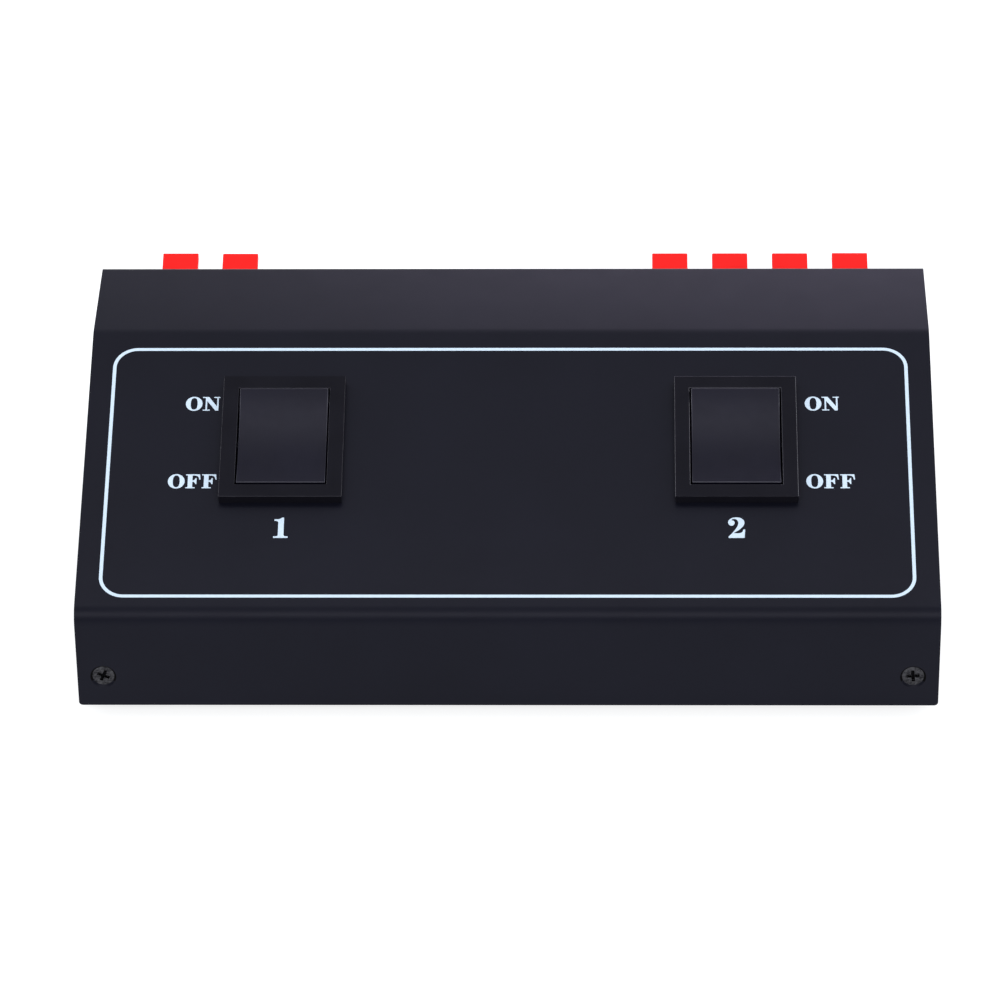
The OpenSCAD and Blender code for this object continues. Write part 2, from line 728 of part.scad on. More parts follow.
// Leaf spring that clamps the wire, with its solder tab behind the block
module terminal_spring(x, z) {
    leaf_low = [leaf_foot, cell_bottom + leaf_t];
    color(bright_steel) on_rear(x, block_h + z) {
        difference() {
            across(leaf_w) polygon([
                [-block_depth, cell_bottom], [leaf_foot + leaf_t, cell_bottom],
                leaf_head + [leaf_t, 0], leaf_head,
                leaf_low, [-block_depth, cell_bottom + leaf_t]
            ]);
            translate([-window_w / 2, leaf_foot, window_low])
                cube([window_w, -leaf_foot, window_high - window_low]);
        }
        translate([-tab_w / 2, -block_depth - tab_l, cell_bottom]) cube([tab_w, tab_l, leaf_t]);
    }
}

// Ends of the contact blades and of the solder tabs, in the frame of the case
function slope_point(x, v, w) = [
    x,
    (switch_s + v) * cos(slope_a) - w * sin(slope_a),
    front_h + (switch_s + v) * sin(slope_a) + w * cos(slope_a)
];
function blade_tip(side, pole, v, shift) =
    slope_point(side * switch_x + pole * pole_x + shift, v, -housing_depth - blade_l);
function tab_tip(t, shift) = [
    terminals[t][1] + shift,
    case_d - block_depth - tab_l,
    block_h + terminals[t][2] + cell_bottom + leaf_t / 2
];

// Smooth curve that rounds every corner of a route from the middle of one leg to the middle of the next
corner_steps = 4;
function round_corner(a, b, c, u) =
    pow(1 - u, 2) * (a + b) / 2 + 2 * u * (1 - u) * b + u * u * (b + c) / 2;
function smooth(p) = concat(
    [p[0]],
    [for (i = [1 : len(p) - 2]) for (k = [0 : corner_steps - 1])
        round_corner(p[i - 1], p[i], p[i + 1], k / corner_steps)],
    [(p[len(p) - 2] + p[len(p) - 1]) / 2, p[len(p) - 1]]
);

// Short straight pieces with which a wire leaves a blade or a solder tab
tip_lead = 3;
function below(tip) = tip - tip_lead * [0, -sin(slope_a), cos(slope_a)];
function before(tab) = tab - [0, tip_lead, 0];

// A wire that crosses from one place to another in a lane of its own depth and height
function lane_wire(start, out, y, z, into, end) = concat(
    [start, out],
    [for (share = [0.12, 0.4, 0.7, 0.88]) [out[0] + (into[0] - out[0]) * share, y, z]],
    [into, end]
);

// A wire that climbs from a blade to a solder tab of the upper row
bend_run = 4;
function climbing_wire(tip, tab) =
    let (out = below(tip), turn = out + [0, bend_run, 0], into = before(tab), rise = into - turn)
    [tip, out, turn, turn + [rise[0] * 0.3, rise[1] * 0.4, rise[2] * 0.4],
        turn + [rise[0] * 0.8, rise[1] * 0.8, rise[2]], into, tab];

// Spread of two wires that share a blade or a solder tab
blade_pair = 1.2;
tab_pair = 1.1;

// Lanes of the red output wires in front of the solder tabs, at one height over the cover's lower edge
tab_y = case_d - block_depth - tab_l;
low_lane = 3.6;
output_lanes = [16.5, 19.5, 23.5, 26.5];

// Lanes of the jumpers, to the front of their first blade's tip and over it
jumper_lanes = [[3.1, -2.8], [4.1, 0.1]];

// Lanes of the black wires, in front of the solder tabs and over the low lane
return_lanes = [[7.5, 2.4], [10, 4.9], [5.5, 1.9], [9.5, 5.4]];

module wire(points) {
    in_case() swept_tube(smooth(points), wire_d, 8, [1, 0, 0]);
}

// Order of the terminals in the list: channel by channel, upper row first
input_left = 0;
input_right = 2;
output1_left = 4;
output1_right = 6;
output2_left = 8;
output2_right = 10;
lower = 1;

module positive_wires() {
    color(wire_red) {
        wire(climbing_wire(blade_tip(-1, -1, 0, -blade_pair), tab_tip(input_left, 0)));
        wire(climbing_wire(blade_tip(-1, 1, 0, -blade_pair), tab_tip(input_right, 0)));
        jumper(-1, jumper_lanes[0]);
        jumper(1, jumper_lanes[1]);
        output_wire(-1, -1, output1_left, output_lanes[0]);
        output_wire(-1, 1, output1_right, output_lanes[1]);
        output_wire(1, -1, output2_left, output_lanes[2]);
        output_wire(1, 1, output2_right, output_lanes[3]);
    }
}

// Joins one pole of the left switch to the same pole of the right switch, between the rows of blades
module jumper(pole, lane) {
    start = blade_tip(-1, pole, 0, blade_pair);
    end = blade_tip(1, pole, 0, -blade_pair);
    wire(lane_wire(start, below(start), start[1] - lane[0], start[2] + lane[1], below(end), end));
}

// Runs from a switched contact to a red output terminal
module output_wire(side, pole, t, lane) {
    start = blade_tip(side, pole, end_blade_v, 0);
    end = tab_tip(t, 0);
    wire(lane_wire(start, below(start), tab_y - lane, low_lane, before(end), end));
}

// Joins two black terminals
module return_wire(from, to, from_shift, to_shift, lane) {
    start = tab_tip(from + lower, from_shift);
    end = tab_tip(to + lower, to_shift);
    wire(lane_wire(start, before(start), tab_y - lane[0], low_lane + lane[1], before(end), end));
}

module negative_wires() {
    color(wire_black) {
        return_wire(input_left, output1_left, 0, -tab_pair, return_lanes[0]);
        return_wire(input_right, output1_right, 0, -tab_pair, return_lanes[1]);
        return_wire(output1_left, output2_left, tab_pair, 0, return_lanes[2]);
        return_wire(output1_right, output2_right, tab_pair, 0, return_lanes[3]);
    }
}

top_cover();
base_chassis();
rubber_foot(-1, -1);  // foot_front_left
rubber_foot(1, -1);  // foot_front_right
rubber_foot(-1, 1);  // foot_rear_left
rubber_foot(1, 1);  // foot_rear_right
front_cover_screws();
rear_cover_screws();
switch_housing(-switch_x);  // left_switch_housing
rocker(-switch_x);  // left_rocker
switch_plungers(-switch_x);  // left_switch_plungers
plunger_springs(-switch_x);  // left_plunger_springs
moving_contacts(-switch_x);  // left_moving_contacts
switch_terminals(-switch_x);  // left_switch_terminals
switch_housing(switch_x);  // right_switch_housing
rocker(switch_x);  // right_rocker
switch_plungers(switch_x);  // right_switch_plungers
plunger_springs(switch_x);  // right_plunger_springs
moving_contacts(switch_x);  // right_moving_contacts
switch_terminals(switch_x);  // right_switch_terminals
block_body(input_x, len(input_names));  // input_block_body
block_body(output_x, len(output_names));  // output_block_body
block_screws();
block_nuts();
for (t = terminals) {
    terminal_lever(t[1], t[2], t[3]);
    terminal_spring(t[1], t[2]);
}
positive_wires();
negative_wires();
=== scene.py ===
import json
import math

import bmesh
import bpy
from mathutils import Matrix, Vector

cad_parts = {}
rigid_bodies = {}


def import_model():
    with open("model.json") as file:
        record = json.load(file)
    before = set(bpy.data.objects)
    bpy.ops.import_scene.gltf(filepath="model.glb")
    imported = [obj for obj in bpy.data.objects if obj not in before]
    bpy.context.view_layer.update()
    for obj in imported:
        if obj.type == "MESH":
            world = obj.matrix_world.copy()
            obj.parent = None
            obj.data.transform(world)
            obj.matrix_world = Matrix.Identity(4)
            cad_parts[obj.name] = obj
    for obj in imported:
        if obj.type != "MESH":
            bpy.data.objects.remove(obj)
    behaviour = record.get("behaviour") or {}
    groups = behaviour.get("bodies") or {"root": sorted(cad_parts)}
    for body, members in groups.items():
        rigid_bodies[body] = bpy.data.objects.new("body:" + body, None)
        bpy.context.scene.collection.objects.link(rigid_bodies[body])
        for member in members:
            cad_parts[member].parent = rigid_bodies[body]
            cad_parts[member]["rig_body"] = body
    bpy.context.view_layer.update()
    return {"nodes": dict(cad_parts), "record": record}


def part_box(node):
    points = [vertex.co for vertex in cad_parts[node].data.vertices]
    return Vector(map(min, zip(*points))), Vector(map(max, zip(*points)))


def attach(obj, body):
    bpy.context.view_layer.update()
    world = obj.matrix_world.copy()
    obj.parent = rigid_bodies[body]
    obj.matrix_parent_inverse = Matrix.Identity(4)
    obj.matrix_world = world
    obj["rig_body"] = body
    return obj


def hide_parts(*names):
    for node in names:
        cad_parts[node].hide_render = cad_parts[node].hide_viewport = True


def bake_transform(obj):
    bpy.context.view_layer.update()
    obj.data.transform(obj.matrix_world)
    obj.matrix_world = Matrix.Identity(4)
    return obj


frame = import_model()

# A millimetre and a micrometre, in metres
MM = 0.001
MICRON = 0.000001

nodes = frame["nodes"]
body_of_node = {node: piece["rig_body"] for node, piece in nodes.items()}
slot_of_node = {row["node"]: row["material_slot"] for row in frame["record"]["subparts"]}


# The panel: the cover's sloping face

# Limits on the normal of a facet that looks to the front and up
FRONTWARD = -0.2
UPWARD = 0.5


def panel_face():
    """The largest facet of the cover that looks to the front and up."""
    facets = [
        facet for facet in nodes["top_cover"].data.polygons
        if facet.normal.y < FRONTWARD and facet.normal.z > UPWARD]
    return max(facets, key=lambda facet: facet.area)


panel_up = panel_face().normal.copy()
panel_along = Vector((0, panel_up.z, -panel_up.y))
cover_low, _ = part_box("top_cover")


def panel_foot():
    """The middle of the panel's lower edge, where it would meet the front face without a bend."""
    centre = panel_face().center
    point = centre + panel_along * ((cover_low.y - centre.y) / panel_along.y)
    return Vector((0, point.y, point.z))


foot = panel_foot()


def on_panel(x, s, h):
    """A point on the panel: x across, s up the slope and h above it, in millimetres."""
    return foot + Vector((x, 0, 0)) * MM + panel_along * (s * MM) + panel_up * (h * MM)


# Shader helpers

WHITE = (1, 1, 1)
COOL_GLOSS = (0.86, 0.85, 1.0, 1)
EVEN = (1, 1, 1)
# Most values of a noise texture lie in this span
NOISE_SPAN = (0.3, 0.7)


def new_material(name, base, roughness, specular=0.5, metallic=0.0):
    """A material whose constant values sit on the shader itself, with a faintly cool gloss."""
    material = bpy.data.materials.new(name)
    material.use_nodes = True
    shader = material.node_tree.nodes["Principled BSDF"]
    shader.inputs["Base Color"].default_value = (*base, 1)
    shader.inputs["Roughness"].default_value = roughness
    shader.inputs["Specular IOR Level"].default_value = specular
    shader.inputs["Specular Tint"].default_value = COOL_GLOSS
    shader.inputs["Metallic"].default_value = metallic
    return material, material.node_tree, shader


def noise(tree, scale, detail=3.0, roughness=0.5, stretch=EVEN, distortion=0.0):
    """Noise in the object's own space, with scale in features per metre."""
    place = tree.nodes.new("ShaderNodeTexCoord")
    mapping = tree.nodes.new("ShaderNodeMapping")
    mapping.inputs["Scale"].default_value = stretch
    texture = tree.nodes.new("ShaderNodeTexNoise")
    texture.inputs["Scale"].default_value = scale
    texture.inputs["Detail"].default_value = detail
    texture.inputs["Roughness"].default_value = roughness
    texture.inputs["Distortion"].default_value = distortion
    tree.links.new(place.outputs["Object"], mapping.inputs["Vector"])
    tree.links.new(mapping.outputs["Vector"], texture.inputs["Vector"])
    return texture.outputs["Fac"]


def tint(base, factor):
    """A colour made darker or lighter by a factor."""
    return tuple(min(1.0, channel * factor) for channel in base)


def vary_colour(tree, shader, value, low, high, stops=NOISE_SPAN):
    """Blends the base colour from low to high while a value goes from stop to stop."""
    blend = tree.nodes.new("ShaderNodeValToRGB")
    for element, stop, colour in zip(blend.color_ramp.elements, stops, (low, high)):
        element.position = stop
        element.color = (*colour, 1)
    tree.links.new(value, blend.inputs["Fac"])
    tree.links.new(blend.outputs["Color"], shader.inputs["Base Color"])


def vary(tree, setting, value, low, high, span=NOISE_SPAN):
    """Takes a shader's setting from low to high while a value goes through the span."""
    mapper = tree.nodes.new("ShaderNodeMapRange")
    for name, number in zip(("From Min", "From Max", "To Min", "To Max"), (*span, low, high)):
        mapper.inputs[name].default_value = number
    tree.links.new(value, mapper.inputs["Value"])
    tree.links.new(mapper.outputs["Result"], setting)


def vary_gloss(tree, shader, value, low, high):
    """Takes the roughness from low to high with a value."""
    vary(tree, shader.inputs["Roughness"], value, low, high)


def bump(tree, shader, height, depth, under=None):
    """Adds relief of a depth in metres on top of the relief under it, and returns its normals."""
    relief = tree.nodes.new("ShaderNodeBump")
    relief.inputs["Distance"].default_value = depth
    tree.links.new(height, relief.inputs["Height"])
    if under is not None:
        tree.links.new(under, relief.inputs["Normal"])
    tree.links.new(relief.outputs["Normal"], shader.inputs["Normal"])
    return relief.outputs["Normal"]


# Materials

def enamel(name, roughness, specular):
    """Satin black stoving enamel on steel, with faint orange peel and a slightly cloudy gloss."""
    base = (0.0047, 0.0051, 0.0099)
    cloudiness = 0.016
    material, tree, shader = new_material(name, base, roughness, specular=specular)
    vary_colour(tree, shader, noise(tree, 45, detail=4), tint(base, 0.9), tint(base, 1.1))
    clouds = noise(tree, 160, detail=5)
    vary_gloss(tree, shader, clouds, roughness - cloudiness, roughness + cloudiness)
    peel = bump(tree, shader, noise(tree, 900, detail=2), 4 * MICRON)
    bump(tree, shader, noise(tree, 4200, detail=1), 1.2 * MICRON, under=peel)
    return material


def moulded_plastic(name, base, roughness, specular=0.4, grain=1.5 * MICRON):
    """Moulded plastic: fine grain, faint flow clouds and handling marks in the gloss."""
    polished, dulled = 0.03, 0.04
    material, tree, shader = new_material(name, base, roughness, specular=specular)
    vary_colour(tree, shader, noise(tree, 120, detail=4), tint(base, 0.88), tint(base, 1.12))
    marks = noise(tree, 420, detail=6, roughness=0.65)
    vary_gloss(tree, shader, marks, roughness - polished, roughness + dulled)
    bump(tree, shader, noise(tree, 3600, detail=2), grain)
    return material


def metal(name, base, roughness, brush=EVEN):
    """Bare or plated metal with a drawn or brushed grain and patchy tarnish."""
    polished, dulled = 0.08, 0.12
    material, tree, shader = new_material(name, base, roughness, metallic=1.0)
    vary_colour(tree, shader, noise(tree, 260, detail=4), tint(base, 0.78), tint(base, 1.1))
    grain = noise(tree, 2400, detail=4, stretch=brush)
    vary_gloss(tree, shader, grain, roughness - polished, roughness + dulled)
    bump(tree, shader, grain, MICRON)
    return material


def worn_oxide():
    """Black oxide on steel, rubbed through in streaks and blotches by driver and box."""
    dark, bare = (0.013, 0.013, 0.015), (0.064, 0.064, 0.07)
    material, tree, shader = new_material("black_oxide", dark, 0.36, metallic=1.0)
    wear = noise(tree, 1100, detail=5, roughness=0.6, stretch=(1, 1, 1.6), distortion=1.2)
    vary_colour(tree, shader, wear, dark, bare, stops=(0.38, 0.62))
    vary_gloss(tree, shader, wear, 0.45, 0.3)
    bump(tree, shader, noise(tree, 1700, detail=3), 10 * MICRON)
    return material


def grime():
    """Painted shade: dull near-black for the screw recesses and the upper side of the countersinks, with
    faint lighter specks.
    """
    base = (0.0022, 0.0022, 0.0024)
    material, tree, shader = new_material("grime", base, 0.8, specular=0.05)
    specks = noise(tree, 1800, detail=4)
    vary_colour(tree, shader, specks, base, tint(base, 2.5), stops=(0.5, 0.8))
    vary_gloss(tree, shader, specks, 0.7, 0.9)
    bump(tree, shader, specks, 5 * MICRON)
    return material


def rubber():
    """Dull black rubber with talc dust in its pores."""
    base, talc = (0.012, 0.012, 0.013), (0.035, 0.035, 0.036)
    material, tree, shader = new_material("foot_rubber", base, 0.75, specular=0.3)
    dust = noise(tree, 700, detail=6, roughness=0.7)
    vary_colour(tree, shader, dust, base, talc, stops=(0.45, 0.85))
    vary_gloss(tree, shader, dust, 0.68, 0.88)
    bump(tree, shader, noise(tree, 2600, detail=3), 6 * MICRON)
    return material


def printing_ink():
    """Cool white screen-printing ink, a little uneven in cover and gloss."""
    base = (0.60, 0.73, 0.87)
    material, tree, shader = new_material("printing_ink", base, 0.5, specular=0.3)
    cover = noise(tree, 1500, detail=4)
    vary_colour(tree, shader, cover, tint(base, 0.93), base)
    vary_gloss(tree, shader, cover, 0.45, 0.58)
    bump(tree, shader, noise(tree, 5200, detail=2), 2 * MICRON)
    return material


MATERIALS = {
    "black_enamel_steel": enamel("black_enamel", 0.39, 0.11),
    "bezel_black": moulded_plastic("bezel_plastic", (0.0074, 0.0073, 0.0108), 0.42, specular=0.04),
    "rocker_black": moulded_plastic(
        "rocker_plastic", (0.0034, 0.0032, 0.0090), 0.33, specular=0.18, grain=3 * MICRON),
    "block_black": moulded_plastic("block_plastic", (0.014, 0.014, 0.015), 0.4, specular=0.45),
    "lever_red": moulded_plastic("lever_red_plastic", (0.92, 0.0113, 0.0085), 0.35, specular=0.14),
    "lever_black": moulded_plastic("lever_black_plastic", (0.013, 0.013, 0.014), 0.35, specular=0.45),
    "contact_brass": metal("contact_brass", (0.72, 0.55, 0.27), 0.32),
    "spring_steel": metal("spring_steel", (0.62, 0.62, 0.63), 0.28, brush=(0.15, 1, 1)),
    "zinc_steel": metal("zinc_steel", (0.46, 0.47, 0.49), 0.32),
    "black_oxide_screw": worn_oxide(),
    "foot_rubber": rubber(),
    "wire_red": moulded_plastic("wire_red_pvc", (0.6, 0.02, 0.02), 0.42),
    "wire_black": moulded_plastic("wire_black_pvc", (0.015, 0.015, 0.016), 0.42),
}
INK = printing_ink()
PAINTED_SHADE = grime()

# Painted highlight on the rounded edges: glossier copies of a piece's material, most of them lighter too,
# by the slot of the piece
EDGE_HIGHLIGHTS = {
    "black_enamel_steel": enamel("black_enamel_edge", 0.3, 0.3),
    "bezel_black": moulded_plastic("bezel_plastic_edge", (0.0085, 0.0083, 0.0125), 0.24, specular=0.45),
    "rocker_black": moulded_plastic("rocker_plastic_edge", (0.0075, 0.0073, 0.014), 0.22, specular=0.6),
    "black_oxide_screw": metal("black_oxide_edge", (0.085, 0.085, 0.095), 0.3),
}


def paint(piece, slot):
    """Gives a piece the material of a slot; its faces keep their material indices."""
    indices = [face.material_index for face in piece.data.polygons]
    piece.data.materials.clear()
    piece.data.materials.append(MATERIALS[slot])
    piece.data.polygons.foreach_set("material_index", indices)


def link(name, data):
    """A new object in the scene."""
    piece = bpy.data.objects.new(name, data)
    bpy.context.scene.collection.objects.link(piece)
    return piece


# Front screws and the countersinks of their holes

# The countersink's reach beyond the head, the recess's share of the head's radius and its depth
SINK_MARGIN = 0.55 * MM
RECESS_SHARE = 0.65
RECESS_DEPTH = 0.85 * MM
# Faces less deep than this belong to the front of the head
HEAD_SKIN = 0.01 * MM
# How much the countersink's normals look to the front, and the most that they look up on its upper side
CONE_FRONTWARD = (0.5, 0.9)
CONE_UPWARD = 0.3
# Turn of each front screw in degrees, by its side: -1 is left and 1 is right
SCREW_TURNS = {-1: 24, 1: -5}

screw_low, screw_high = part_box("front_cover_screws")
SCREW_HEAD_R = (screw_high.z - screw_low.z) / 2
SCREW_X = screw_high.x - SCREW_HEAD_R
SCREW_Z = (screw_low.z + screw_high.z) / 2
SINK_R = SCREW_HEAD_R + SINK_MARGIN
RECESS_R = SCREW_HEAD_R * RECESS_SHARE


def from_screw(point):
    """Distance of a point from the axis of the nearest front screw."""
    return math.hypot(point.x - math.copysign(SCREW_X, point.x), point.z - SCREW_Z)


def turn_screws(shape):
    """Turns each front screw about its axis."""
    for side, degrees in SCREW_TURNS.items():
        picked = [vert for vert in shape.verts if vert.co.x * side > 0]
        axis = Vector((side * SCREW_X, 0, SCREW_Z))
        turn = Matrix.Rotation(math.radians(degrees), 3, "Y")
        bmesh.ops.rotate(shape, verts=picked, cent=axis, matrix=turn)


def in_recess(face):
    """True for the walls and the floor of a front screw's recess."""
    middle = face.calc_center_median()
    depth = middle.y - screw_low.y
    return from_screw(middle) < RECESS_R and HEAD_SKIN < depth < RECESS_DEPTH


def at_sink(point):
    """True for a point at the countersink of a front screw's hole."""
    return point.y < 0 and from_screw(point) < SINK_R


def in_upper_sink(face):
    """True for the upper side of a front screw hole's countersink."""
    least, most = CONE_FRONTWARD
    on_cone = at_sink(face.calc_center_median()) and least < abs(face.normal.y) < most
    return on_cone and face.normal.z < CONE_UPWARD


# Faces painted near-black as shade: the upper side of each front countersink and the recess of each front
# screw
SHADE_PAINTED_FACES = {"top_cover": in_upper_sink, "front_cover_screws": in_recess}


# Refined pieces: the CAD shape with its edges rounded

# Corners closer than this, in metres, are one
WELD = 2 * MICRON
# Facets that meet at less than the first angle are one face, and edges over the second are sharp
FLAT_DEGREES = 0.4
SHARP_DEGREES = 28
EDGE_SEGMENTS = 3
# Places in a piece's list of materials
HIGHLIGHT_INDEX = 1
SHADE_INDEX = 2

# Width of the rounded edges in millimetres
FOOT_EDGE = 0.5
LEVER_EDGE = 0.35
EDGES = {
    "top_cover": 0.25,
    "base_chassis": 0.2,
    "left_switch_housing": 0.35,
    "right_switch_housing": 0.35,
    "left_rocker": 0.45,
    "right_rocker": 0.45,
    "input_block_body": 0.25,
    "output_block_body": 0.25,
    "front_cover_screws": 0.14,
    "rear_cover_screws": 0.14,
    "block_screws": 0.25,
}
for node in nodes:
    if node.startswith("foot_"):
        EDGES[node] = FOOT_EDGE
    if node.endswith("_lever"):
        EDGES[node] = LEVER_EDGE


def drop_normals(mesh):
    """Forgets the normals stored with the CAD mesh."""
    if "custom_normal" in mesh.attributes:
        mesh.attributes.remove(mesh.attributes["custom_normal"])


def copied(node):
    """A CAD node's mesh for editing, with its corners joined."""
    shape = bmesh.new()
    shape.from_mesh(nodes[node].data)
    bmesh.ops.remove_doubles(shape, verts=shape.verts, dist=WELD)
    return shape


def refined(node, suffix, shape):
    """A new piece from a CAD node's edited mesh, in the node's material."""
    mesh = bpy.data.meshes.new(node + suffix)
    shape.to_mesh(mesh)
    shape.free()
    drop_normals(mesh)
    piece = link(node + suffix, mesh)
    paint(piece, slot_of_node[node])
    return piece


def weigh_edges(shape, node):
    """Marks the sharp edges to be rounded, all but the rims of the front countersinks."""
    weight = shape.edges.layers.float.new("bevel_weight_edge")
    for edge in shape.edges:
        sharp = len(edge.link_faces) == 2 and edge.calc_face_angle() > math.radians(SHARP_DEGREES)
        rim = node == "top_cover" and all(at_sink(vert.co) for vert in edge.verts)
        edge[weight] = float(sharp and not rim)
        edge.smooth = not (sharp and rim)


def rounded(node, width):
    """A copy of a CAD node with its sharp edges rounded to a width in millimetres."""
    shape = copied(node)
    bmesh.ops.dissolve_limit(
        shape, angle_limit=math.radians(FLAT_DEGREES), verts=shape.verts, edges=shape.edges)
    shape.normal_update()
    if node == "front_cover_screws":
        turn_screws(shape)
    weigh_edges(shape, node)
    for face in shape.faces:
        face.smooth = True
        # Faces where shade falls get the near-black painted shade
        face.material_index = SHADE_INDEX if node in SHADE_PAINTED_FACES and SHADE_PAINTED_FACES[node](face) else 0
    piece = refined(node, "_finished", shape)
    bevel = piece.modifiers.new("edge", "BEVEL")
    bevel.limit_method = "WEIGHT"
    bevel.width = width * MM
    bevel.segments = EDGE_SEGMENTS
    bevel.use_clamp_overlap = True
    bevel.harden_normals = True
    slot = slot_of_node[node]
    # The rounded edges get the painted highlight copy of the material
    if slot in EDGE_HIGHLIGHTS:
        piece.data.materials.append(EDGE_HIGHLIGHTS[slot])
        bevel.material = HIGHLIGHT_INDEX
    # The near-black painted shade for recesses and countersinks
    if node in SHADE_PAINTED_FACES:
        piece.data.materials.append(PAINTED_SHADE)
    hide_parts(node)
    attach(piece, body_of_node[node])


# Leaf springs, cut into strips along their height

# The number of strips that a leaf spring is cut into
LEAF_CUTS = 12


def bending_leaf(node):
    """A copy of a leaf spring, cut into strips along its height."""
    low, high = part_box(node)
    shape = copied(node)
    for face in shape.faces:
        face.smooth = False
    for i in range(1, LEAF_CUTS):
        height = low.z + (high.z - low.z) * i / LEAF_CUTS
        bmesh.ops.bisect_plane(
            shape, geom=shape.verts[:] + shape.edges[:] + shape.faces[:],
            plane_co=(0, 0, height), plane_no=(0, 0, 1))
    piece = refined(node, "_bending", shape)
    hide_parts(node)
    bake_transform(piece)


for node in sorted(nodes):
    if node in EDGES:
        rounded(node, EDGES[node])
    elif node.endswith("_spring"):
        bending_leaf(node)
    else:
        paint(nodes[node], slot_of_node[node])


# Printing on the panel, in millimetres across from its middle and up from its foot

INK_THICKNESS = 0.03
INK_LIFT = 0.012
LINE_W = 0.7
LINE_LEFT, LINE_RIGHT = -81.07, 80.93
LINE_LOW, LINE_HIGH = 4.62, 66.95
LINE_CORNER_R = 4.7
CORNER_STEPS = 16


def rounded_outline(left, right, low, high, radius):
    """Points of a rectangle with round corners, counter-clockwise."""
    corners = [
        (right - radius, low + radius, -90), (right - radius, high - radius, 0),
        (left + radius, high - radius, 90), (left + radius, low + radius, 180)]
    points = []
    for x, y, start in corners:
        for i in range(CORNER_STEPS + 1):
            angle = math.radians(start + 90 * i / CORNER_STEPS)
            points.append((x + radius * math.cos(angle), y + radius * math.sin(angle)))
    return points


def line_outline(offset):
    """The middle of the printed line, moved outwards by an offset."""
    return rounded_outline(
        LINE_LEFT - offset, LINE_RIGHT + offset, LINE_LOW - offset, LINE_HIGH + offset,
        LINE_CORNER_R + offset)


def printed_line():
    """The line around the panel: a closed band of four strips between two rounded outlines."""
    outer, inner = line_outline(LINE_W / 2), line_outline(-LINE_W / 2)
    low, high = INK_LIFT, INK_LIFT + INK_THICKNESS
    rings = [(outer, low), (outer, high), (inner, high), (inner, low)]
    count = len(outer)
    shape = bmesh.new()
    made = [[shape.verts.new(on_panel(x, s, h)) for x, s in ring] for ring, h in rings]
    for ring, after in zip(made, made[1:] + made[:1]):
        for i in range(count):
            j = (i + 1) % count
            shape.faces.new((ring[i], ring[j], after[j], after[i]))
    bmesh.ops.recalc_face_normals(shape, faces=shape.faces)
    mesh = bpy.data.meshes.new("printed_line")
    shape.to_mesh(mesh)
    shape.free()
    return link("printed_line", mesh)


def ellipse(cx, cy, rx, ry):
    """An ellipse as a glyph's loop of four smooth points."""
    return [(cx + rx, cy, 1), (cx, cy + ry, 1), (cx - rx, cy, 1), (cx, cy - ry, 1)]


# Bold slab letters and figures, in units of their height; the third value is 1 where the outline is smooth
GLYPHS = {
    "O": [ellipse(0.485, 0.5, 0.485, 0.515), ellipse(0.485, 0.5, 0.2, 0.425)],
    "N": [[
        (0, 1, 0), (0.35, 1, 0), (0.835, 0.31, 0), (0.835, 0.93, 0), (0.65, 0.93, 0), (0.65, 1, 0),
        (1.01, 1, 0), (1.01, 0.93, 0), (0.925, 0.93, 0), (0.925, 0, 0), (0.755, 0, 0), (0.26, 0.7, 0),
        (0.26, 0.07, 0), (0.43, 0.07, 0), (0.43, 0, 0), (0.015, 0, 0), (0.015, 0.07, 0), (0.17, 0.07, 0),
        (0.17, 0.9, 0), (0.11, 0.93, 0), (0, 0.93, 0),
    ]],
    "F": [[
        (0, 1, 0), (0.81, 1, 0), (0.85, 0.63, 0), (0.785, 0.62, 0), (0.7, 0.85, 1), (0.53, 0.92, 0),
        (0.385, 0.92, 0), (0.385, 0.56, 0), (0.49, 0.59, 1), (0.565, 0.73, 0), (0.625, 0.73, 0),
        (0.625, 0.3, 0), (0.565, 0.3, 0), (0.49, 0.44, 1), (0.385, 0.475, 0), (0.385, 0.1, 0),
        (0.42, 0.07, 0), (0.535, 0.07, 0), (0.535, 0, 0), (0, 0, 0), (0, 0.07, 0), (0.12, 0.08, 0),
        (0.12, 0.92, 0), (0, 0.93, 0),
    ]],
    "1": [[
        (0.44, 1, 0), (0.36, 1, 0), (0.26, 0.93, 1), (0.06, 0.915, 0), (0.06, 0.84, 0), (0.16, 0.83, 1),
        (0.215, 0.77, 0), (0.215, 0.14, 0), (0.18, 0.09, 1), (0.03, 0.075, 0), (0.03, 0, 0), (0.61, 0, 0),
        (0.61, 0.075, 0), (0.475, 0.09, 1), (0.44, 0.14, 0),
    ]],
    "2": [[
        (0, 0.73, 1), (0.07, 0.92, 1), (0.32, 1.01, 1), (0.56, 0.93, 1), (0.64, 0.74, 1), (0.5, 0.47, 1),
        (0.2, 0.235, 0), (0.46, 0.24, 1), (0.55, 0.29, 1), (0.595, 0.41, 0), (0.67, 0.42, 0), (0.64, 0, 0),
        (0.005, 0, 0), (0.005, 0.06, 0), (0.26, 0.39, 1), (0.39, 0.66, 1), (0.38, 0.83, 1), (0.27, 0.93, 1),
        (0.14, 0.87, 1), (0.2, 0.85, 1), (0.255, 0.73, 1), (0.13, 0.6, 1),
    ]],
}
# Where the letters of each word start, in units of their height
STARTS = {"ON": (0, 0.985), "OFF": (0, 1.03, 1.96), "1": (0,), "2": (0,)}
CURVE_STEPS = 10

LETTER_H = 3.5
FIGURE_H = 5.05
ON_BASELINE = 51.1
OFF_BASELINE = 31.35
FIGURE_BASELINE = 18.95
# Name, letters, left end, baseline and height of each word
WORDS = [
    ("left_on", "ON", -66.05, ON_BASELINE, LETTER_H),
    ("left_off", "OFF", -68.8, OFF_BASELINE, LETTER_H),
    ("right_on", "ON", 60.05, ON_BASELINE, LETTER_H),
    ("right_off", "OFF", 59.95, OFF_BASELINE, LETTER_H),
    ("left_figure", "1", -47.2, FIGURE_BASELINE, FIGURE_H),
    ("right_figure", "2", 44.1, FIGURE_BASELINE, FIGURE_H),
]


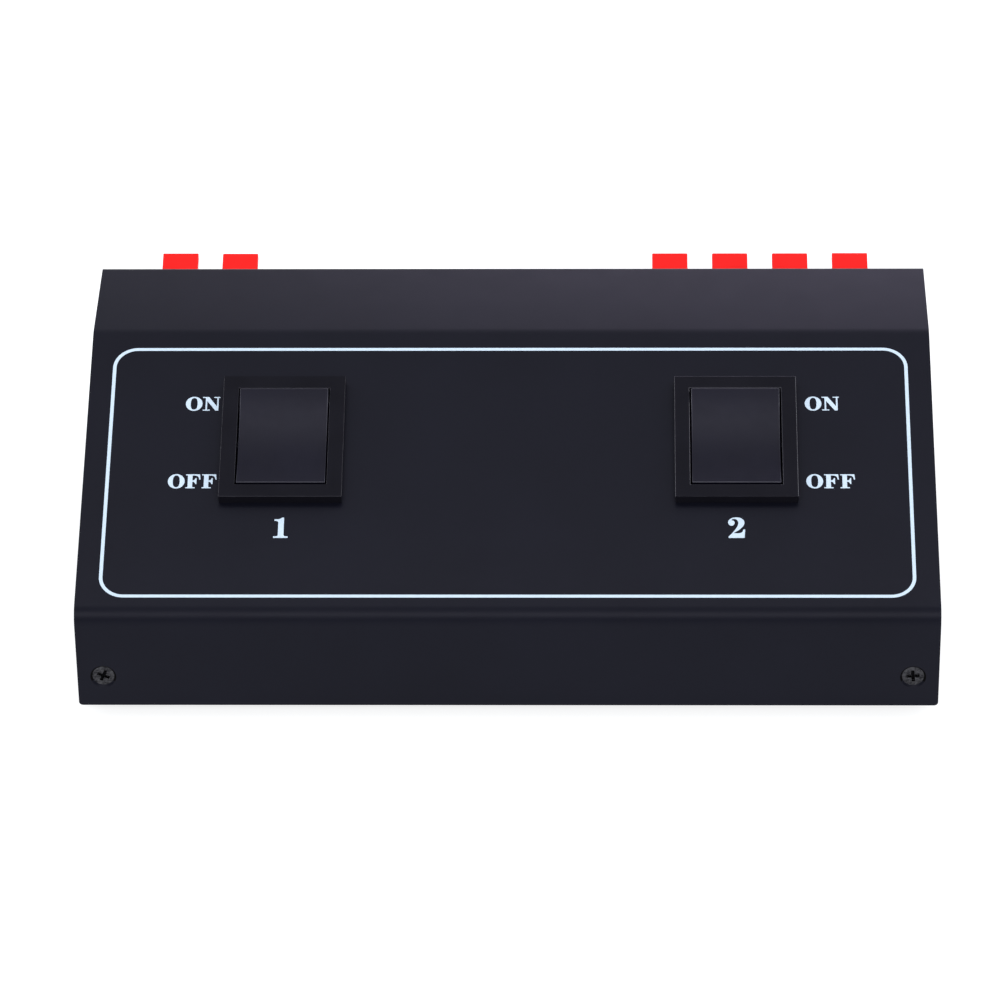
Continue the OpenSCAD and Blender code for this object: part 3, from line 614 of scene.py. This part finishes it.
def letter_outlines(name, letters, height):
    """The outlines of a word's letters as one filled curve."""
    outline = bpy.data.curves.new(name, "CURVE")
    outline.dimensions = "2D"
    outline.fill_mode = "BOTH"
    outline.resolution_u = CURVE_STEPS
    outline.extrude = INK_THICKNESS / 2 * MM
    for letter, start in zip(letters, STARTS[letters]):
        for loop in GLYPHS[letter]:
            line = outline.splines.new("BEZIER")
            line.bezier_points.add(len(loop) - 1)
            line.use_cyclic_u = True
            for point, (px, py, smooth) in zip(line.bezier_points, loop):
                kind = "AUTO" if smooth else "VECTOR"
                point.co = ((start + px) * height * MM, py * height * MM, 0)
                point.handle_left_type = point.handle_right_type = kind
    return outline


def printed_word(name, letters, x, s, height):
    """Flat printed letters on the panel."""
    drawing = link(name + "_outline", letter_outlines(name, letters, height))
    bpy.context.view_layer.update()
    graph = bpy.context.evaluated_depsgraph_get()
    mesh = bpy.data.meshes.new_from_object(drawing.evaluated_get(graph))
    bpy.data.objects.remove(drawing)
    turn = Matrix((Vector((1, 0, 0)), panel_along, panel_up)).transposed().to_4x4()
    place = Matrix.Translation(on_panel(x, s, INK_LIFT + INK_THICKNESS / 2))
    mesh.transform(place @ turn)
    return link(name, mesh)


def add_ink(piece):
    """Prints a piece on the case."""
    piece.data.materials.clear()
    piece.data.materials.append(INK)
    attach(piece, "case")


add_ink(printed_line())
for word in WORDS:
    add_ink(printed_word(*word))


# Floor

# Side of the floor in metres and its gap under the feet in millimetres
FLOOR_SIZE = 12
FLOOR_GAP = 0.05
FLOOR_COLOUR = (0.36, 0.37, 0.38)
FLOOR_GLOW = 0.8


def stage_floor():
    """A pale light table, lit through from below as well as from above."""
    shape = bmesh.new()
    bmesh.ops.create_grid(shape, x_segments=1, y_segments=1, size=FLOOR_SIZE / 2)
    mesh = bpy.data.meshes.new("floor")
    shape.to_mesh(mesh)
    shape.free()
    floor = link("floor", mesh)
    material, tree, shader = new_material("floor_paper", FLOOR_COLOUR, 0.8, specular=0.1)
    vary_colour(tree, shader, noise(tree, 3), tint(FLOOR_COLOUR, 0.99), FLOOR_COLOUR)
    shader.inputs["Emission Color"].default_value = (*WHITE, 1)
    shader.inputs["Emission Strength"].default_value = FLOOR_GLOW
    mesh.materials.append(material)
    floor.location.z = -FLOOR_GAP * MM


# Light

WORLD_COLOUR = (0.96, 0.98, 1.0)
# Strength of the world's light at the horizon and high up, and the span of heights in which it rises
WORLD_LOW = 0.25
WORLD_HIGH = 0.72
WORLD_SPAN = (0.0, 0.5)

VIOLET = (0.81, 0.72, 1.0)
# Name, azimuth, elevation, distance, width, height, power and colour of each lamp; azimuth 0 is in
# front and 90 to the object's right, angles are in degrees, sizes in metres and power in watts
LAMPS = [
    ("overhead_softbox", 180, 86, 1.2, 1.2, 0.36, 3, WHITE),
    ("front_softbox", 0, 39, 1.5, 1.4, 0.52, 8.6, WHITE),
    ("rear_softbox", 162, 26, 1.5, 1.1, 0.5, 4.6, VIOLET),
    ("left_strip", -118, 30, 1.4, 0.3, 0.9, 4, WHITE),
    ("right_strip", 118, 30, 1.4, 0.3, 0.9, 4, WHITE),
]


def softbox(name, azimuth, elevation, distance, width, height, power, colour):
    """A rectangular lamp that faces the object."""
    lamp = bpy.data.lights.new(name, "AREA")
    lamp.shape = "RECTANGLE"
    lamp.size = width
    lamp.size_y = height
    lamp.energy = power
    lamp.color = colour
    piece = link(name, lamp)
    around, above = math.radians(azimuth), math.radians(elevation)
    away = Vector((
        math.sin(around) * math.cos(above), -math.cos(around) * math.cos(above), math.sin(above)))
    piece.location = away * distance
    piece.rotation_euler = away.to_track_quat("Z", "Y").to_euler()
    piece.visible_camera = False


def tent():
    """A pale world that darkens towards the horizon."""
    world = bpy.data.worlds.new("studio")
    world.use_nodes = True
    tree = world.node_tree
    background = tree.nodes["Background"]
    background.inputs["Color"].default_value = (*WORLD_COLOUR, 1)
    place = tree.nodes.new("ShaderNodeTexCoord")
    parts = tree.nodes.new("ShaderNodeSeparateXYZ")
    tree.links.new(place.outputs["Generated"], parts.inputs["Vector"])
    vary(tree, background.inputs["Strength"], parts.outputs["Z"], WORLD_LOW, WORLD_HIGH, WORLD_SPAN)
    bpy.context.scene.world = world


# Camera: angles in degrees, distance in metres, lens and sensor in millimetres

CAMERA_ELEVATION = 33.780
CAMERA_YAW = -1.335
CAMERA_ROLL = -0.743
CAMERA_DISTANCE = 1.12752
CAMERA_LENS = 198
CAMERA_SENSOR = 36
# The point that the camera looks at: a place, and its shift to the right and up in the picture
AIM = Vector((0, -6.686, 26.724)) * MM
AIM_RIGHT = -2.171 * MM
AIM_UP = -4.985 * MM


def add_camera():
    """The photograph's view: a long lens in front of the object and above it."""
    elevation, yaw, roll = (math.radians(v) for v in (CAMERA_ELEVATION, CAMERA_YAW, CAMERA_ROLL))
    ahead = Vector((
        math.sin(yaw) * math.cos(elevation), math.cos(yaw) * math.cos(elevation), -math.sin(elevation)))
    level_right = Vector((math.cos(yaw), -math.sin(yaw), 0))
    level_up = level_right.cross(ahead)
    right = level_right * math.cos(roll) + level_up * math.sin(roll)
    up = level_up * math.cos(roll) - level_right * math.sin(roll)
    target = AIM + level_right * AIM_RIGHT + level_up * AIM_UP
    data = bpy.data.cameras.new("camera")
    data.lens = CAMERA_LENS
    data.sensor_width = CAMERA_SENSOR
    camera = link("camera", data)
    turn = Matrix((right, up, -ahead)).transposed().to_4x4()
    camera.matrix_world = Matrix.Translation(target - ahead * CAMERA_DISTANCE) @ turn
    bpy.context.scene.camera = camera


bpy.context.scene.view_settings.view_transform = "Standard"
stage_floor()
tent()
for lamp in LAMPS:
    softbox(*lamp)
add_camera()
